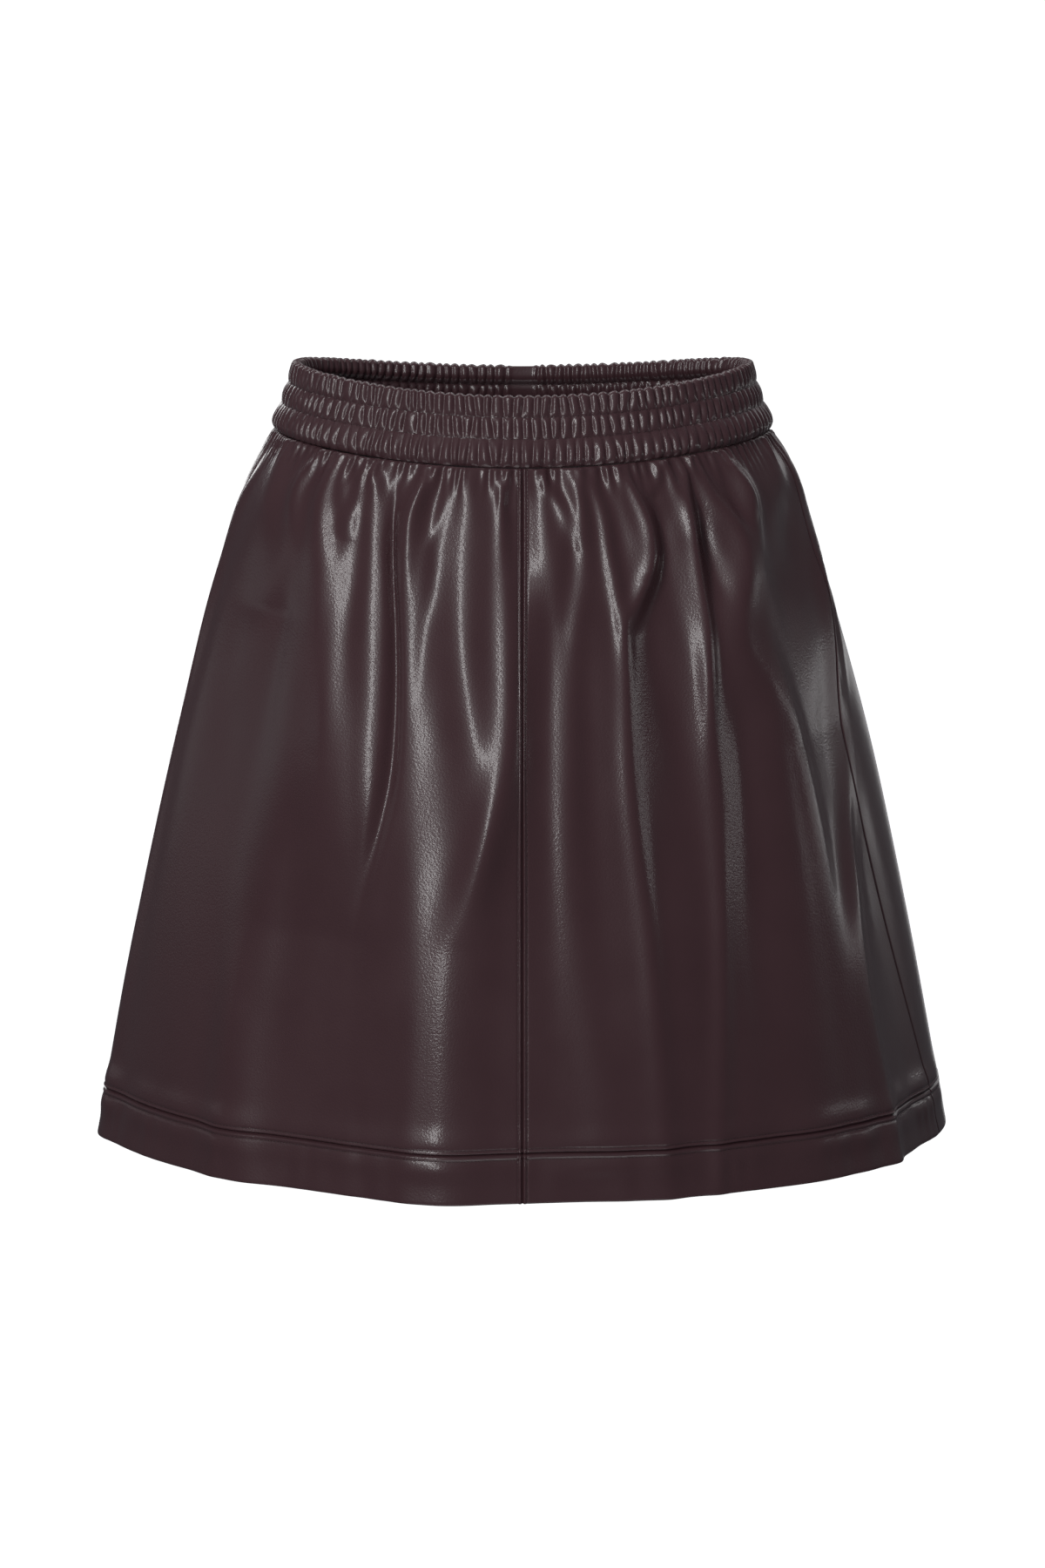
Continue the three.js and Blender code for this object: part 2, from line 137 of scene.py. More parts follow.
FRONT_FOLDS = [
    fold(at=[-88.1, -86.4, -82.7, -80.8, -82.8, -82.8, -82.8],
         tall=[1.5, 2.2, 2.0, 0.8, 1.9, 1.5, 5.5], wide=[7.7, 26.1]),
    fold(at=[-68.8, -65.4, -62.6, -60.3], tall=[2.3, 2.6, 1.8, -6.5], wide=[4.6, 49.8]),
    fold(at=[-50.5, -54.4, -51.5, -50.8], tall=[4, 3.8, 2, -3.7], wide=[3.6, 30.5]),
    fold(at=[-45.2, -45.3, -42.8, -39.1, -35.1, -34.9],
         tall=[3.1, 4.7, 5.7, 4.4, 8, -6.4], wide=[4.1, 44.3]),
    fold(at=[-42.5, -40.2, -37.7], tall=[0.8, 2.4, -2.7], wide=[3.3, 20.7]),
    fold(at=[-38.4, -36.1, -37.1, -37.5, -33.5], tall=[3.7, 3.1, 3.9, 3.6, -0.5], wide=[3.7, 26.1]),
    fold(at=[-36.1, -31.5, -29.8, -28, -25.8, -28.7],
         tall=[3, 2.5, 1.5, 3.9, 4.4, -3], wide=[3.3, 26.8]),
    fold(at=[-30.1, -26.9], tall=[1.3, -0.4], wide=[2.5, 19]),
    fold(at=[-29.7, -27.5, -26.3, -23.5, -21.6, -25.3, -20.7],
         tall=[-1.1, -0.8, -4.6, -4.5, -3.7, -0.4, -0.7], wide=[2.2, 6]),
    fold(at=[-20, -22.3, -22.4, -20.7, -16.5, -15.2, -12.7],
         tall=[2.5, 6.1, 5.5, 1.9, 2.5, 5.2, 5.3], wide=[4.2, 24.8]),
    fold(at=[-15.1, -16, -18.6], tall=[1.7, 0.6, 0.7], wide=[2.3, 12.5]),
    fold(at=[-12.9, -11.1, -10.8, -10.1, -6.6, -5.9],
         tall=[4.1, 2.6, 2.3, 5.8, 8.9, 5], wide=[5.8, 35.4]),
    fold(at=[-5.5, -4, -3.4, -2.9, -2.6, -10.1], tall=[1.7, 3, 4.1, 4.6, 6.8, 2], wide=[2.2, 17.1]),
    fold(at=[-3.1, -3.2], tall=[2.7, -1.8], wide=[2.3, 14]),
    fold(at=[3.2, 4.1, 5.5, 5.8], tall=[3.8, 1, 1.2, -3.1], wide=[3.5, 30.8]),
    fold(at=[3.4, 7.6, 9.7], tall=[1.2, 2.2, -1.5], wide=[2.5, 21.7]),
    fold(at=[11.3, 11.9, 11.9, 9.3, 7.8, 8.2, 12.4],
         tall=[3.3, 4, 1.8, 2.8, 4.3, 2.8, 0.8], wide=[4.2, 13.7]),
    fold(at=[13.4, 16, 16.8, 18.3, 17.4, 18.7, 19.3],
         tall=[1.7, 2.7, 2.7, 2.6, 1.9, 2.5, 2.5], wide=[3.9, 7.9]),
    fold(at=[19.5, 21.3, 23.3, 21.6], tall=[1.3, 2.4, 4.2, -1.8], wide=[3.7, 33.6]),
    fold(at=[21.8, 24.5, 25.8, 19.1, 17.8], tall=[1.7, 4.6, 6.9, 1.7, 1.4], wide=[3.4, 15.4]),
    fold(at=[32.6, 28.7], tall=[3.9, -1.4], wide=[2.6, 16.8]),
    fold(at=[28, 29.5, 27, 24.9, 26.2, 24.5, 24.2],
         tall=[-1.1, 0.6, -3, -4.3, -5.2, 1.3, -0.6], wide=[3.5, 27.1]),
    fold(at=[33.4, 34.1, 35.3], tall=[2.5, 2.6, 0], wide=[3, 21.4]),
    fold(at=[39.4, 36, 35.1, 34.6, 32.6, 30.3, 26.1],
         tall=[2.1, 4.1, 5.1, 5.3, 0.9, 3.3, 2.4], wide=[3.8, 7.4]),
    fold(at=[38.5, 38.9, 38.8, 39.8, 39, 36.7, 35.2],
         tall=[-0.4, -1.2, -5.2, 0.4, -3, -2.8, -1.9], wide=[2.9, 18.8]),
    fold(at=[41, 42.5, 46.7, 42.7, 48.4, 49, 44.9],
         tall=[2.4, 4.1, 6.6, 7.7, 4.7, 5.1, 2.3], wide=[3.1, 34.9]),
    fold(at=[47.5, 46.3], tall=[1.7, 0.6], wide=[2.8, 11.5]),
    fold(at=[49.9, 52.8, 51.8, 51.5, 52.1], tall=[2, 6.4, 3.6, 2.9, -0.2], wide=[6.1, 19.5]),
    fold(at=[73.1, 71.9, 68.1, 64.4, 63.6], tall=[2.6, 1.8, -3.3, -1.3, -3.9], wide=[4.6, 60]),
    fold(at=[85.6, 82.4, 82.6, 76.7, 71.4, 59, 59.2],
         tall=[3.2, 4.4, 2.2, 5.2, 0.2, 7.6, 8.3], wide=[8.1, 12.4], right=[2.2, 8]),
    fold(at=[95, 94, 92.7, 79.1, 65.5, 69.2, 71],
         tall=[0, 0.1, 0.3, -1, -1.5, -2.6, -4], wide=[11.2, 16.5]),
    fold(at=[-62, -62, -61.9, -60.4, -60, -49.8, -40.1],
         tall=[0.2, -0.8, -0.9, 2.8, -0.2, 0.9, 5], wide=[12, 15.5], right=[14.8, 17.1]),
    fold(at=[0.5, -0.3, -1.1, -0.7, 1.1, 1.6, 1.2],
         tall=[0.4, -3.1, -3.2, 0.8, 1.3, -2.1, -2], wide=[7.6, 26.7]),
    fold(at=[-77.9, -78.6, -81.9, -82.4, -83.5, -83.3, -78.8],
         tall=[-0.1, 1, 1.2, 3.4, 1.6, 5, 3.5], wide=[4.6, 10.6]),
    fold(at=[-88, -88, -88, -87.8, -87.7, -87.2, -88.6],
         tall=[0, 0, 0.1, 0.4, 0.7, -2.8, -0.7], wide=[6.2, 13.9]),
    fold(at=[-18.4, -19.3, -19, -18.1, -18.1, -15.6, -15.1],
         tall=[-0.3, -1.4, 0.7, -1, 0, 0.4, 1.5], wide=[5, 7.9]),
    fold(at=[52, 51.9, 51.3, 48.3, 51.5, 52.5, 53],
         tall=[0, 1.9, 0.9, 2.2, 3.0, 3.0, 3.6], wide=[5.1, 12]),
    fold(at=[90, 88.1, 84.7, 83.3, 74.4, 63.1, 60.9],
         tall=[0, -0.2, 0, 2.2, 0.3, 2.9, 1], wide=[5.4, 8.6]),
    fold(at=[6.3, 7, 6.4, 6.4, 5.5, 6, 5], tall=[-0.9, -0.8, 0, 0.9, 0.8, 0.4, 0], wide=[4.2, 7.3]),
    fold(at=[34, 33.1, 32.9, 32.6, 33.3, 32.8, 33],
         tall=[-0.3, 0.9, 1.4, 2, 0.5, 0.6, -0.1], wide=[4.1, 7.1]),
    fold(at=[-33.2, -32.9, -31, -29.8, -28.1, -25, -25],
         tall=[-0.2, 0.9, 0.7, 0.2, -0.3, -0.3, -0.1], wide=[3.7, 7.2]),
    fold(at=[-50, -50, -50, -50, -50, -48, -46], tall=[0, 0, 0, 0, 0, 0.8, 3], wide=[5, 10]),
    fold(at=[93, 93, 93, 93, 93, 93, 93], tall=[0, 0, -0.5, 0.8, 3.2, 4.2, 4.6], wide=[12, 30]),
]
BACK_FOLD_TURN, BACK_FOLD_SPREAD, BACK_FOLD_SHARE, BACK_FOLD_REACH = 186, 1.1, 0.85, 74


def turned_to_the_back(row):
    """The twin of a front fold on the back, which the photo doesn't show."""
    at = [BACK_FOLD_TURN + BACK_FOLD_SPREAD * angle for angle in row["at"]]
    tall = [height * BACK_FOLD_SHARE for height in row["tall"]]
    return fold(at, tall, row["wide"], row["right"])


inner_folds = [row for row in FRONT_FOLDS if max(map(abs, row["at"])) < BACK_FOLD_REACH]
FOLDS = FRONT_FOLDS + [turned_to_the_back(row) for row in inner_folds]
print(len(FRONT_FOLDS), "folds on the front and sides,", len(inner_folds), "on the back")

# %% [markdown]
# The waistband holds the folds: right at its edge they have three fifths of their height, and they level
# out to as much again on the way to the hem. Between the large folds, the waistband's stitching puckers
# the leather every six millimetres or so, and the puckers die away within a finger's width. Beside the
# hem seam the leather stands out a little, and the band below it ripples. Each could be drawn one by one,
# but they are only roughly even. So they are waves whose spacing and height wander, from a few sines that
# don't repeat together, which gives the same ones on each run.

# %% The folded face of the cloth
SEWN_FOLD_SHARE, SEWN_FOLD_REACH, WIDENING = 0.6, 9, 0.8
HEM_FOLD_SHARE, LEVEL_FROM = 0.6, 150
PUCKER_PITCH, PUCKER_HEIGHT, PUCKER_REACH, PUCKER_START = 2.6, 1.2, 10, 2
HEM_SWELL, HEM_SWELL_REACH, HEM_SWELLS = 1.2, 6, (-6, 8)
HEM_RIPPLE, HEM_RIPPLE_PITCH, HEM_RIPPLE_BELOW, HEM_RIPPLE_REACH = 0.3, 5, 14, 12


def turn(start, end):
    """The smallest turn from one angle to another, in degrees."""
    return (end - start + 180) % 360 - 180


def wander(x, seed):
    """A smooth wandering value from -1 to 1."""
    return (np.sin(x + seed) + np.sin(1.73 * x + 2.1 * seed) + np.sin(2.91 * x + 4.3 * seed)) / 3


def uneven(angle, mean, spread, span, seed):
    """A share that wanders about its mean, over a span of degrees."""
    return mean + spread * wander(angle / span, seed)


def drifting(angle, pitch, drift, span, seed):
    """How far a wave has gone at an angle, when its spacing wanders over a span of degrees."""
    return 2 * np.pi * angle / pitch + drift * wander(angle / span, seed)


def fold_height(angle, drop, half, depth):
    """How far the folds push the cloth out."""
    free = np.minimum(1, drop / SEWN_FOLD_REACH)
    height = np.zeros(np.broadcast(angle, drop).shape)
    for row in FOLDS:
        levels = FOLD_LEVELS[: len(row["at"])]
        ridge, tall = curve(levels, row["at"], drop), curve(levels, row["tall"], drop)
        turned = np.radians(ridge)
        per_degree = np.radians(1) * np.hypot(half * np.cos(turned), depth * np.sin(turned))
        away = turn(ridge, angle) * per_degree
        ends = np.where(away[..., None] > 0, row["right"], row["wide"])
        wide = ends[..., 0] + (ends[..., 1] - ends[..., 0]) * (drop / SKIRT_DROP) ** WIDENING
        height += tall * np.exp(-((away / wide) ** 2))
    low = np.clip((drop - LEVEL_FROM) / (SKIRT_DROP - LEVEL_FROM), 0, 1)
    held = 1 - (1 - HEM_FOLD_SHARE) * low * low * (3 - 2 * low)
    return height * held * (SEWN_FOLD_SHARE + (1 - SEWN_FOLD_SHARE) * free)


def pucker_height(angle, drop):
    """Small puckers at the waistband's stitching."""
    wave = np.cos(drifting(angle, PUCKER_PITCH, drift=4, span=9, seed=1.0))
    share = uneven(angle, mean=0.6, spread=0.6, span=3.1, seed=2.0)
    held = np.minimum(1, drop / PUCKER_START)
    return PUCKER_HEIGHT * share * wave * np.exp(-((drop / PUCKER_REACH) ** 2)) * held


def hem_swell(angle, drop):
    """The leather stands out a little above and below the hem seam, and ripples over the band."""
    share = uneven(angle, mean=0.75, spread=0.6, span=5, seed=5.0)
    sides = sum(np.exp(-(((drop - HEM_SEAM - way) / HEM_SWELL_REACH) ** 2)) for way in HEM_SWELLS)
    wave = np.sin(drifting(angle, HEM_RIPPLE_PITCH, drift=5, span=7, seed=3.0))
    ripple = wave * uneven(angle, mean=0.5, spread=0.7, span=11, seed=6.0)
    ripple = ripple * np.exp(-(((drop - HEM_SEAM - HEM_RIPPLE_BELOW) / HEM_RIPPLE_REACH) ** 2))
    return HEM_SWELL * share * sides + HEM_RIPPLE * ripple


def face(angle, drop):
    """The outer face of the skirt: points in millimetres, and the ways out of the plain form."""
    angle, drop = np.broadcast_arrays(np.asarray(angle, float), np.asarray(drop, float))
    half = curve(SECTION_DROPS, HALF_WIDTHS, drop)
    front = curve(SECTION_DROPS, FRONT_DEPTHS, drop)
    back = curve(SECTION_DROPS, BACK_DEPTHS, drop)
    top = waist_z(angle)
    place, out = oval(half, front, back, angle, top + drop / SKIRT_DROP * (HEM_Z - top))
    depth = np.where(np.cos(np.radians(angle)) > 0, front, back)
    height = fold_height(angle, drop, half, depth) + pucker_height(angle, drop) + hem_swell(angle, drop)
    return place + out * height[..., None], out


print("the cloth stands out to", np.round(face(90, SKIRT_DROP)[0], 1), "mm at the hem's side")

# %% [markdown]
# Smooth coated leather is a dark aubergine brown with a soft gloss. It could be one flat colour, but the
# gloss is what the eye reads: it breaks up over a fine pebble grain, and it is a little uneven where the
# coating is handled. So the grain is a bump of small cells about a millimetre apart, and slow noise
# changes colour and roughness a little. A clear coat over the duller leather gives the sharp lines of
# light, and the leather itself the soft glow beside them. Every pattern reads Object coordinates, because
# they hold still on a piece that never changes its place.

# %% Materials


def new_material(name, color, roughness, specular=0.5):
    """A node material with one Principled shader, and its nodes, links and shader."""
    material = bpy.data.materials.new(name)
    material.use_nodes = True
    nodes, links = material.node_tree.nodes, material.node_tree.links
    shader = nodes["Principled BSDF"]
    shader.inputs["Base Color"].default_value = (*color, 1)
    shader.inputs["Roughness"].default_value = roughness
    shader.inputs["Specular IOR Level"].default_value = specular
    return material, nodes, links, shader


def noise_node(nodes, links, place, scale, detail):
    """A noise texture at that many waves a metre."""
    noise = nodes.new("ShaderNodeTexNoise")
    noise.inputs["Scale"].default_value = scale
    noise.inputs["Detail"].default_value = detail
    links.new(place, noise.inputs["Vector"])
    return noise.outputs["Fac"]


def spread(nodes, links, value, low, high, start=0.3, end=0.7):
    """A value from start to end, spread over low to high."""
    ramp = nodes.new("ShaderNodeMapRange")
    for socket, number in (("From Min", start), ("From Max", end), ("To Min", low), ("To Max", high)):
        ramp.inputs[socket].default_value = number
    links.new(value, ramp.inputs["Value"])
    return ramp.outputs["Result"]


def blend_colors(nodes, links, factor, first, second):
    """A mix of two colours."""
    mix = nodes.new("ShaderNodeMix")
    mix.data_type = "RGBA"
    mix.inputs["A"].default_value, mix.inputs["B"].default_value = (*first, 1), (*second, 1)
    links.new(factor, mix.inputs["Factor"])
    return mix.outputs["Result"]


def bump_node(nodes, links, height, distance, strength, under=None):
    """A bump of that height in metres, laid over another one."""
    bump = nodes.new("ShaderNodeBump")
    bump.inputs["Distance"].default_value = distance
    bump.inputs["Strength"].default_value = strength
    links.new(height, bump.inputs["Height"])
    if under is not None:
        links.new(under, bump.inputs["Normal"])
    return bump.outputs["Normal"]


LEATHER_DARK, LEATHER_LIGHT = (0.063, 0.0288, 0.0340), (0.074, 0.0342, 0.0402)
GRAIN_CELLS, GRAIN_PITS, HANDLING = 900, 2600, 28
KNIT, TWIST = 1100, 4200
BACKING_COLOR, THREAD_COLOR = (0.050, 0.034, 0.036), (0.045, 0.024, 0.027)
BACKING_DARK, BACKING_LIGHT = (0.043, 0.029, 0.031), (0.058, 0.040, 0.042)
THREAD_DARK, THREAD_LIGHT = (0.034, 0.018, 0.020), (0.060, 0.034, 0.037)


def leather_material():
    """Coated leather with a pebble grain."""
    material, nodes, links, shader = new_material("leather", LEATHER_DARK, roughness=0.38, specular=0.4)
    place = nodes.new("ShaderNodeTexCoord").outputs["Object"]
    slow = noise_node(nodes, links, place, HANDLING, detail=3)
    color = blend_colors(nodes, links, slow, LEATHER_DARK, LEATHER_LIGHT)
    links.new(color, shader.inputs["Base Color"])
    links.new(spread(nodes, links, slow, low=0.34, high=0.42), shader.inputs["Roughness"])
    cells = nodes.new("ShaderNodeTexVoronoi")
    cells.feature = "SMOOTH_F1"
    cells.inputs["Scale"].default_value = GRAIN_CELLS
    cells.inputs["Smoothness"].default_value = 0.6
    links.new(place, cells.inputs["Vector"])
    pebbles = bump_node(nodes, links, cells.outputs["Distance"], distance=-0.00006, strength=0.8)
    pits = noise_node(nodes, links, place, GRAIN_PITS, detail=2)
    grain = bump_node(nodes, links, pits, distance=0.00002, strength=0.6, under=pebbles)
    links.new(grain, shader.inputs["Normal"])
    links.new(grain, shader.inputs["Coat Normal"])
    shader.inputs["Coat Weight"].default_value = 0.55
    shader.inputs["Coat Roughness"].default_value = 0.17
    return material


def backing_material():
    """The knitted fabric that the leather's coating lies on, seen from inside."""
    made = new_material("fabric_backing", BACKING_COLOR, roughness=0.92, specular=0.25)
    material, nodes, links, shader = made
    place = nodes.new("ShaderNodeTexCoord").outputs["Object"]
    slow = noise_node(nodes, links, place, HANDLING, detail=3)
    color = blend_colors(nodes, links, slow, BACKING_DARK, BACKING_LIGHT)
    links.new(color, shader.inputs["Base Color"])
    knit = noise_node(nodes, links, place, KNIT, detail=2)
    links.new(bump_node(nodes, links, knit, distance=0.0003, strength=0.6), shader.inputs["Normal"])
    shader.inputs["Sheen Weight"].default_value = 0.25
    shader.inputs["Sheen Roughness"].default_value = 0.5
    return material


def thread_material():
    """Twisted polyester thread in the leather's own colour."""
    material, nodes, links, shader = new_material("thread", THREAD_COLOR, roughness=0.42)
    place = nodes.new("ShaderNodeTexCoord").outputs["Object"]
    twist = noise_node(nodes, links, place, TWIST, detail=1)
    color = blend_colors(nodes, links, twist, THREAD_DARK, THREAD_LIGHT)
    links.new(color, shader.inputs["Base Color"])
    links.new(bump_node(nodes, links, twist, distance=0.0001, strength=0.5), shader.inputs["Normal"])
    return material


leather, backing, thread = leather_material(), backing_material(), thread_material()
print("materials:", [each.name for each in (leather, backing, thread)])

# %% [markdown]
# A sewn seam is a narrow groove, because both edges turn in to their allowances. Topstitching a few
# millimetres away presses the leather down, so a soft lip stands between the groove and the stitches.
# A groove could be cut from the mesh afterwards, but here it is simply added to the face's height, with
# closely spaced columns or rows beside the seam, so that the groove stays crisp.

# %% Seam profiles
GROOVE_DEPTH, GROOVE_WIDTH = 1.1, 0.55
LIP_HEIGHT, LIP_WIDTH, LIP_PLACE = 0.55, 0.75, 0.52
STITCH_DENT, STITCH_DENT_WIDTH = 0.3, 0.5
SEAM_STEPS = [0, 0.25, 0.5, 0.75, 1.05, 1.4, 1.8, 2.2, 2.6, 3.0, 3.5, 4.2, 5.2]


def seam_profile(distance, stitch=None):
    """Height of the leather at a distance from a seam, with a topstitch row at its own distance."""
    height = -GROOVE_DEPTH * np.exp(-((distance / GROOVE_WIDTH) ** 2))
    if stitch is not None:
        height += LIP_HEIGHT * np.exp(-(((distance - stitch * LIP_PLACE) / LIP_WIDTH) ** 2))
        height -= STITCH_DENT * np.exp(-(((distance - stitch) / STITCH_DENT_WIDTH) ** 2))
    return height


def close_at_ends(length, count, near_start=True, near_end=True):
    """Distances along a length, closely spaced beside a seam at either end and even between."""
    steps = np.array(SEAM_STEPS)
    first = steps if near_start else steps[:1]
    last = length - (steps if near_end else steps[:1])[::-1]
    middle = np.linspace(first[-1], last[0], count - len(first) - len(last) + 2)[1:-1]
    return np.concatenate([first, middle, last])


print("a seam's profile:", np.round(seam_profile(np.array([0, 1.2, 2.5, 5]), 2.5), 2), "mm")

# %% [markdown]
# Every cloth piece is a closed shell: an outer face, an inner one a wall's thickness behind it, and a
# narrow strip round the edge. Solidify could add the inner face, but then the wall would fold over itself
# in the tight valleys. So the inner points are the outer ones, moved straight in towards the wearer,
# which never crosses. One function makes the shell from any two grids of points.

# %% Shells from grids of points


def make_mesh(name, points, faces, materials, slots, smooth=True):
    """A mesh object from points in millimetres, with a material slot for each face."""
    mesh = bpy.data.meshes.new(name)
    mesh.from_pydata((np.asarray(points) * MM).tolist(), [], faces)
    for material in materials:
        mesh.materials.append(material)
    mesh.polygons.foreach_set("material_index", slots)
    mesh.polygons.foreach_set("use_smooth", [smooth] * len(faces))
    mesh.update()
    piece = bpy.data.objects.new(name, mesh)
    bpy.context.scene.collection.objects.link(piece)
    return piece


def shell(name, outer, inner, edge_slot=0):
    """A closed shell between an outer and an inner grid, rows from the top down, columns by angle."""
    rows, columns = outer.shape[:2]
    count = rows * columns
    index = np.arange(count).reshape(rows, columns)
    a, b = index[:-1, :-1].ravel(), index[1:, :-1].ravel()
    c, d = index[1:, 1:].ravel(), index[:-1, 1:].ravel()
    faces = np.stack([a, b, c, d], 1).tolist()
    faces += (np.stack([d, c, b, a], 1) + count).tolist()
    slots = [0] * len(a) + [1] * len(a)
    rim = np.concatenate([index[0], index[1:, -1], index[-1, -2::-1], index[-2:0:-1, 0]])
    after = np.roll(rim, -1)
    faces += np.stack([rim, after, after + count, rim + count], 1).tolist()
    slots += [edge_slot] * len(rim)
    points = np.concatenate([outer.reshape(-1, 3), inner.reshape(-1, 3)])
    return make_mesh(name, points, faces, [leather, backing], slots)


def area_of(piece):
    """Half a shell's surface, in square metres: the cloth that it is made of."""
    return sum(polygon.area for polygon in piece.data.polygons) / 2


# %% [markdown]
# The panels run from the waistband to the hem seam. Each is one grid of the folded face, and the seam
# profiles are added along its sewn edges. The centre front seam has a topstitch row on each side, and the
# side seams are plain.

# %% Panels
PANEL_WALL, PANEL_ROWS, RUN_STEPS = 1.1, 128, 60
PANEL_TOP, TOP_ROWS_END, TOP_ROWS_STEP = 0.4, 60, 1.5
CENTRE_STITCH, HEM_STITCH_ABOVE, HEM_STITCH_BELOW = 2.5, 2.6, 3.2
LEFT_SEAM = [80, 79, 78, 76, 71, 72.5, 80]
RIGHT_SEAM = [-82, -82, -82, -82, -82.5, -83, -84]
CENTRE_FRONT = [0] * len(FOLD_LEVELS)
RIGHT_SEAM_ROUND = [angle + 360 for angle in RIGHT_SEAM]
STRETCHES = {
    "front_right": dict(start=RIGHT_SEAM, end=CENTRE_FRONT, stitch=(None, CENTRE_STITCH), columns=240),
    "front_left": dict(start=CENTRE_FRONT, end=LEFT_SEAM, stitch=(CENTRE_STITCH, None), columns=240),
    "back": dict(start=LEFT_SEAM, end=RIGHT_SEAM_ROUND, stitch=(None, None), columns=296),
}


def stretch_angles(stretch, drop):
    """Angles of a stretch's columns at each drop, and their distances from its two ends."""
    start, end = (curve(FOLD_LEVELS, stretch[side], drop)[:, None] for side in ("start", "end"))
    share = np.linspace(0, 1, RUN_STEPS)[None]
    along = face(start + (end - start) * share, drop[:, None])[0]
    steps = np.linalg.norm(np.diff(along, axis=1), axis=-1)
    run = np.concatenate([np.zeros((len(drop), 1)), np.cumsum(steps, 1)], 1)
    angles, near, far = [], [], []
    for i, length in enumerate(run[:, -1]):
        distance = close_at_ends(length, stretch["columns"])
        part = np.interp(distance, run[i], share[0])
        angles.append(start[i] + (end[i] - start[i]) * part)
        near.append(distance)
        far.append(length - distance)
    return np.array(angles), np.array(near), np.array(far)


def panel(name, stretch):
    """One panel of the skirt."""
    gathered = np.arange(PANEL_TOP, TOP_ROWS_END, TOP_ROWS_STEP)
    drop = np.concatenate([gathered, close_at_ends(HEM_SEAM, PANEL_ROWS, near_start=False)[1:]])
    drop = np.unique(np.concatenate([drop[drop < TOP_ROWS_END], drop[drop >= TOP_ROWS_END + 1]]))
    angle, near, far = stretch_angles(stretch, drop)
    place, out = face(angle, drop[:, None])
    height = seam_profile(near, stretch["stitch"][0]) + seam_profile(far, stretch["stitch"][1])
    height += seam_profile(HEM_SEAM - drop, HEM_STITCH_ABOVE)[:, None]
    outer = place + out * height[..., None]
    return shell(name, outer, outer - out * PANEL_WALL)


panels = {name + "_panel": panel(name + "_panel", stretch) for name, stretch in STRETCHES.items()}
for name, piece in panels.items():
    print(name, len(piece.data.polygons), "faces,", round(area_of(piece), 4), "square metres")

# %% [markdown]
# The hem is finished with a deep band of the same leather, folded double, so its lower edge is a round
# fold and it shows leather on both sides. Its grid runs down the outside, round the fold and back up the
# inside, with a half circle of rows at the fold.

# %% Hem bands
HEM_WALL, FOLD_ROWS = 2.2, 7
HEM_ROWS_START, HEM_ROWS = 6.2, 14


def hem_shell(name, stretch):
    """The band as one grid that is rolled up: outside, round the fold, inside."""
    even = np.linspace(HEM_ROWS_START, HEM_BAND - HEM_WALL / 2, HEM_ROWS)
    down = np.concatenate([np.array(SEAM_STEPS), even])
    drop = HEM_SEAM + down
    angle, near, far = stretch_angles(stretch, drop)
    place, out = face(angle, drop[:, None])
    height = seam_profile(near, stretch["stitch"][0]) + seam_profile(far, stretch["stitch"][1])
    height += seam_profile(down, HEM_STITCH_BELOW)[:, None]
    outer = place + out * height[..., None]
    inner = outer - out * HEM_WALL
    sweep = np.linspace(0, np.pi, FOLD_ROWS + 2)[1:-1]
    middle, radius = (outer[-1] + inner[-1]) / 2, HEM_WALL / 2
    turned = [middle + out[-1] * radius * np.cos(s) - np.array([0, 0, radius * np.sin(s)]) for s in sweep]
    rings = np.concatenate([outer, turned, inner[::-1]])
    return rolled(name, rings)


def rolled(name, rings):
    """A closed body from rings that go round its section. Its two ends are closed by flat strips."""
    rows, columns = rings.shape[:2]
    index = np.arange(rows * columns).reshape(rows, columns)
    below = np.roll(index, -1, axis=0)
    a, b = index[:, :-1].ravel(), below[:, :-1].ravel()
    c, d = below[:, 1:].ravel(), index[:, 1:].ravel()
    faces = np.stack([a, b, c, d], 1).tolist()
    for column, order in ((0, 1), (columns - 1, -1)):
        for i in range(rows // 2):
            j = rows - 1 - i
            ring = [index[i, column], index[j, column], index[j - 1, column], index[i + 1, column]]
            corners = ring[:3] if j - 1 == i + 1 else ring
            if j - i > 1:
                faces.append([int(k) for k in corners[::order]])
    return make_mesh(name, rings.reshape(-1, 3), faces, [leather], [0] * len(faces))


hem_bands = {}
for name, stretch in STRETCHES.items():
    hem_bands["hem_band_" + name] = hem_shell("hem_band_" + name, stretch)
for name, piece in hem_bands.items():
    print(name, len(piece.data.polygons), "faces,", round(area_of(piece), 4), "square metres")

# %% [markdown]
# The waistband is one strip of leather, folded over three elastics, with a row of stitches between each
# two. Without its gathers it is a plain ring: three swollen channels outside, a rounded rim, and the
# same three inside. The lowest channel is taller than its elastic, so it lies flat above and bulges just
# over the lower seam. Each point also keeps what the gathers need: its way round in millimetres, the
# channel that it is in, its place between two rows of stitches and how full the leather is there.

# %% The waistband's plain ring
BAND_RISES = [0, 4.5, 10.5, 15, 20.7, 26.4, 32, 37]
BAND_HALVES = [138.6, 138.8, 137.6, 135.4, 133.3, 131.3, 129.8, 128.5]
BAND_FRONTS = [103.2, 102.6, 100.8, 98.7, 96.8, 95.2, 94, 93]
BAND_BACKS = [100.4, 100.2, 99, 97.5, 96, 94.8, 93.8, 92.8]
BAND_PUFF_RISES = [0, 1, 2.6, 4.6, 6.6, 9, 12, 14, 15, 16]
BAND_PUFF_RISES += [18, 20.7, 23.4, 25.4, 26.4, 27.4, 29.4, 32, 35, 37]
BAND_PUFFS = [0.4, 0.9, 1.3, 1.35, 1.2, 0.9, 0.55, 0.3, 0.1, 0.3]
BAND_PUFFS += [0.4, 0.45, 0.4, 0.3, 0.1, 0.3, 0.4, 0.4, 0.4, 0.3]
INNER_PUFFS = [0.3, 0.6, 1.0, 1.4, 1.6, 1.7, 1.4, 0.9, 0.2, 0.9]
